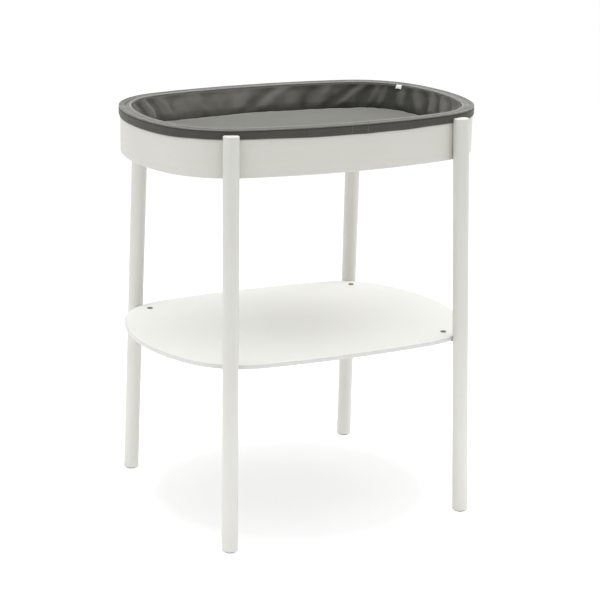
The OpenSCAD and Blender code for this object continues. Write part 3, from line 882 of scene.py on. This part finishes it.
def oval_depth(xy, samples=3000):
    """How far each point lies inside the hoop's outside edge, with the outward direction there."""
    s = np.arange(samples) / samples
    p, n = oval.at(s)
    order = np.argsort(np.arctan2(p[:, 1], p[:, 0]))
    angles = np.arctan2(p[:, 1], p[:, 0])[order]
    depth = np.empty(len(xy))
    normal = np.empty((len(xy), 2))
    first = np.searchsorted(angles, np.arctan2(xy[:, 1], xy[:, 0])) % samples
    best = np.full(len(xy), 1e9)
    for k in range(-150, 151, 3):
        i = order[(first + k) % samples]
        dist = np.linalg.norm(xy - p[i], axis=1)
        closer = dist < best
        best[closer] = dist[closer]
        normal[closer] = n[i][closer]
        depth[closer] = dist[closer]
    return depth, normal


def pad_mesh(inset, drop, nu=260, rings=26):
    """A closed pad with rounded edges, smaller than its space by inset all round and drop on top."""
    p, n = oval.at(np.arange(nu) / nu)
    r = PAD_ROUND * MM
    prof = []
    h0, h1 = pad_lo.z + 0.2 * MM, PAD_TOP - drop
    for k in range(7):
        a = -math.pi / 2 + k / 6 * math.pi / 2
        prof.append((-PAD_IN - inset - r + r * math.cos(a), h0 + r + r * math.sin(a)))
    for k in range(7):
        a = k / 6 * math.pi / 2
        prof.append((-PAD_IN - inset - r + r * math.cos(a), h1 - r + r * math.sin(a)))
    verts = [np.concatenate([p + n * d, np.full((nu, 1), z)], -1) for d, z in prof]
    faces = []
    m = len(prof)
    for k in range(m - 1):
        for i in range(nu):
            j = (i + 1) % nu
            faces.append((k * nu + i, k * nu + j, (k + 1) * nu + j, (k + 1) * nu + i))
    base = m * nu
    for top in (True, False):
        edge = verts[m - 1 if top else 0][:, :2]
        z = prof[-1][1] if top else prof[0][1]
        prev = (m - 1) * nu if top else 0
        for k in range(1, rings):
            verts.append(np.concatenate([edge * (1 - k / rings), np.full((nu, 1), z)], -1))
            for i in range(nu):
                q = (prev + i, prev + (i + 1) % nu, base + (i + 1) % nu, base + i)
                faces.append(q if top else q[::-1])
            prev = base
            base += nu
        verts.append(np.array([[0.0, 0.0, z]]))
        for i in range(nu):
            q = (prev + i, prev + (i + 1) % nu, base)
            faces.append(q if top else q[::-1])
        base += 1
    return np.concatenate(verts), faces


def apply_modifiers(ob):
    """Bakes an object's modifiers into its mesh."""
    me = bpy.data.meshes.new_from_object(ob.evaluated_get(bpy.context.evaluated_depsgraph_get()))
    old = ob.data
    ob.modifiers.clear()
    ob.data = me
    bpy.data.meshes.remove(old)
    me.polygons.foreach_set("use_smooth", [True] * len(me.polygons))


def simulate_pad(ob):
    """Remeshes the pad evenly, swells it with pressure and caps how far its skin moves."""
    rm = ob.modifiers.new("even", "REMESH")
    rm.mode = "VOXEL"
    rm.voxel_size = 0.0058
    apply_modifiers(ob)
    me = ob.data
    base = np.empty(len(me.vertices) * 3)
    me.vertices.foreach_get("co", base)
    base = base.reshape(-1, 3)
    low = [v.index for v in me.vertices if v.co.z < pad_lo.z + 2.0 * MM]
    pins = ob.vertex_groups.new(name="pins")
    pins.add(low, 1.0, "ADD")
    co = run_cloth(ob, 20, mass=0.2, air_damping=2.0, tension_stiffness=10, compression_stiffness=10,
                   shear_stiffness=5, bending_stiffness=0.5, use_pressure=True, uniform_pressure_force=4.0,
                   shrink_min=-0.02, vertex_group_mass="pins", pin_stiffness=1.0)
    ob.vertex_groups.remove(pins)
    move = co - base
    length = np.linalg.norm(move, axis=1)
    cap = 2.6 * MM
    return base + move * (cap * np.tanh(length / cap) / np.maximum(length, 1e-9))[:, None]


def settle_pad(co):
    """Adds the pad's slow waves and keeps it inside the space that it has."""
    depth, normal = oval_depth(co[:, :2])
    inside = depth - PAD_IN
    top = co[:, 2] > PAD_TOP - PAD_ROUND * MM
    x, y = co[:, 0], co[:, 1]
    rng = np.random.default_rng(77)
    wave = np.zeros(len(co))
    for k in range(9):
        kx, ky, ph = rng.normal(0, 22), rng.normal(0, 30), rng.uniform(0, 6.28)
        wave += np.sin(kx * x + ky * y + ph) / 9
    crown = np.clip(inside / 0.10, 0, 1)
    lift = np.where(top, (0.9 * wave - 1.0 * (1 - crown) ** 2) * MM, 0.0)
    edge = np.exp(-((inside - 0.012) / 0.006) ** 2)
    t = np.arctan2(y, x)
    ripple = np.sin(46 * t + 2.5 * np.sin(7 * t)) * (0.5 + 0.5 * np.sin(5 * t + 1.0))
    lift += np.where(top, edge * ripple * 0.45 * MM, 0.0)
    co[:, 2] += lift
    co[:, 2] = np.clip(co[:, 2], pad_lo.z, PAD_TOP + 0.3 * MM)
    push = np.clip(PAD_IN + 0.2 * MM - depth, 0, None)
    co[:, :2] -= normal * push[:, None]
    return co


pad_verts, pad_faces = pad_mesh(inset=1.6 * MM, drop=1.8 * MM)
pad = new_object("pad_soft", pad_verts, pad_faces)
pad_co = settle_pad(simulate_pad(pad))
pad.data.vertices.foreach_set("co", pad_co.reshape(-1))
pad.data.update()
pad.data.materials.append(pad_cloth)
smoothen(pad)
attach(pad, "pad")
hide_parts("pad_cover", "pad_foam")


def pad_ring(name, inset_mm, height, radius, sides):
    """A sewn welt round the pad at a distance inside its edge, with a height for each place round it."""
    nu = len(height)
    p, n = oval.at(np.arange(nu) / nu)
    t = np.arange(sides) / sides * 2 * math.pi
    d = -(PAD_IN + inset_mm * MM) + radius * MM * np.cos(t)[None, :] * np.ones((nu, 1))
    z = height[:, None] + radius * MM * np.sin(t)[None, :]
    xy = p[:, None, :] + n[:, None, :] * d[:, :, None]
    ob = new_object(name, np.concatenate([xy, z[:, :, None]], -1), loop_grid(nu, sides, True))
    ob.data.materials.append(pad_cloth)
    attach(ob, "pad")


welt_z = PAD_TOP - 7.4 * MM + 0.35 * MM * smooth_noise((900, 2), (40, 1), 91)[:, 0]
pad_ring("pad_welt", inset_mm=1.2, height=welt_z, radius=1.1, sides=8)

# ---------------------------------------------------------------- the tag

tag_at = (label_lo + label_hi) / 2
tag_s = oval.near(tag_at.x * 1.07, tag_at.y * 1.07) - 0.0035
tag_p, tag_n = oval.at(np.array([tag_s]))
tag_n = Vector((tag_n[0][0], tag_n[0][1], 0))
tag_t = Vector((-tag_n.y, tag_n.x, 0))
tag_p = Vector((tag_p[0][0], tag_p[0][1], 0))


def build_tag():
    """The folded tag, with its width and its length laid flat."""
    w, nu, nv = 15.0, 11, 21
    # the tag's fold seen from the side: out of the seam, over and back under
    path = np.array([(-22.6, 16.6), (-24.2, 17.6), (-26.6, 17.6), (-29.0, 15.6), (-31.0, 12.2), (-31.8, 9.4),
                     (-31.0, 8.8), (-28.8, 11.4), (-26.2, 13.6), (-24.2, 14.4), (-23.0, 14.2)])
    run = np.concatenate([[0], np.cumsum(np.linalg.norm(np.diff(path, axis=0), axis=1))])
    t = np.linspace(0, run[-1], nv)
    dd, zz = np.interp(t, run, path[:, 0]), np.interp(t, run, path[:, 1])
    verts = []
    for i in range(nu):
        a = i / (nu - 1)
        for j in range(nv):
            out = math.sin(j / (nv - 1) * math.pi)
            lift = (0.8 * math.sin(a * math.pi) + 0.9 * (a - 0.5)) * out
            q = tag_p + tag_n * (dd[j] * MM) + tag_t * ((a - 0.5) * w * (1 - 0.06 * out) * MM)
            verts.append((q.x, q.y, HOOP_TOP + (zz[j] + lift + 1.0) * MM))
    faces = [(i * nv + j, (i + 1) * nv + j, (i + 1) * nv + j + 1, i * nv + j + 1)
             for i in range(nu - 1) for j in range(nv - 1)]
    return new_object("liner_tag", verts, faces), w * MM, run[-1] * MM


tag, tag_w, tag_l = build_tag()
tag.data.materials.append(tag_cloth)
smoothen(tag)
thicken(tag, 0.5, 0)
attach(tag, "liner")
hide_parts("liner_label")

# ---------------------------------------------------------------- stage, light and camera

floor_mat = Mat("studio_floor")
mottle = floor_mat.noise(floor_mat.coords(), 2.0, 2, 0.5)
mottle = floor_mat.ramp(mottle, [(0.3, (0.49,) * 3), (0.7, (0.51,) * 3)])
# the floor glows a little all round the object and less under it, so that only the contact shadow stays
distance = floor_mat.node("ShaderNodeVectorMath", operation="LENGTH")
floor_mat.link(floor_mat.coords(), distance.inputs[0])
glow = floor_mat.ramp(floor_mat.math("MULTIPLY", distance.outputs["Value"], 0.2),
                      [(0.06, (0.46,) * 3), (0.12, (0.98,) * 3), (0.26, (0.80,) * 3), (0.60, (0.58,) * 3)])
floor_mat.set(Base_Color=mottle, Roughness=0.7, Specular_IOR_Level=0.1, Emission_Color=glow,
              Emission_Strength=1.0)
corners = [(-30, -30, 0), (30, -30, 0), (30, 30, 0), (-30, 30, 0)]
stage_floor = new_object("studio_floor", corners, [(0, 1, 2, 3)], False)
stage_floor.data.materials.append(floor_mat.m)

scene = bpy.context.scene
world = bpy.data.worlds.new("studio")
scene.world = world
world.use_nodes = True
bg = world.node_tree.nodes["Background"]
bg.inputs[0].default_value = (1.0, 1.0, 1.0, 1)
wt = world.node_tree
w_dir = wt.nodes.new("ShaderNodeTexCoord")
w_sep = wt.nodes.new("ShaderNodeSeparateXYZ")
w_map = wt.nodes.new("ShaderNodeMapRange")
wt.links.new(w_dir.outputs["Generated"], w_sep.inputs[0])
wt.links.new(w_sep.outputs[2], w_map.inputs["Value"])
w_map.inputs["From Min"].default_value = 0.0
w_map.inputs["From Max"].default_value = 0.9
w_map.inputs["To Min"].default_value = 0.34
w_map.inputs["To Max"].default_value = 1.00
# the light from the side is weaker than the light from above
wt.links.new(w_map.outputs[0], bg.inputs[1])


def area_light(name, at, aim, size, power, size_y=None):
    """A soft box of size by size_y metres at a place, aimed at a point, with a power in watts."""
    data = bpy.data.lights.new(name, "AREA")
    data.shape = "RECTANGLE"
    data.size = size
    data.size_y = size_y or size
    data.energy = power
    ob = bpy.data.objects.new(name, data)
    scene.collection.objects.link(ob)
    ob.location = at
    ob.rotation_euler = (Vector(aim) - Vector(at)).to_track_quat("-Z", "Y").to_euler()


area_light("overhead", (0.0, 0.0, 3.3), (0, 0, 0.4), 4.8, 47, 3.4)
area_light("high_left", (-2.1, 0.3, 2.5), (0, 0, 0.5), 1.6, 10)
area_light("high_right", (2.1, 0.3, 2.5), (0, 0, 0.5), 1.6, 17)
area_light("left", (-3.2, -1.8, 1.5), (0, 0, 0.6), 0.9, 3)
area_light("right", (2.2, -3.4, 1.5), (0, 0, 0.6), 0.9, 8)

scene.view_settings.view_transform = "Standard"
scene.view_settings.look = "None"
scene.view_settings.exposure = 0.0
scene.view_settings.gamma = 1.0
scene.display_settings.display_device = "sRGB"

CAM_AT = Vector((-1.9428, -3.8223, 1.6693))
AZ, PITCH, ROLL, FOCAL = math.radians(27.11), math.radians(15.77), math.radians(1.04), 1946.07
fwd = Vector((math.sin(AZ) * math.cos(PITCH), math.cos(AZ) * math.cos(PITCH), -math.sin(PITCH)))
right0 = Vector((math.cos(AZ), -math.sin(AZ), 0))
up0 = right0.cross(fwd)
right = math.cos(ROLL) * right0 + math.sin(ROLL) * up0
up = -math.sin(ROLL) * right0 + math.cos(ROLL) * up0
cam_data = bpy.data.cameras.new("camera")
cam_data.sensor_width = 36
cam_data.lens = FOCAL * 36 / 600
cam_data.clip_end = 100
cam = bpy.data.objects.new("camera", cam_data)
scene.collection.objects.link(cam)
rot = Matrix((right, up, -fwd)).transposed()
cam.matrix_world = Matrix.Translation(CAM_AT) @ rot.to_4x4()
scene.camera = cam
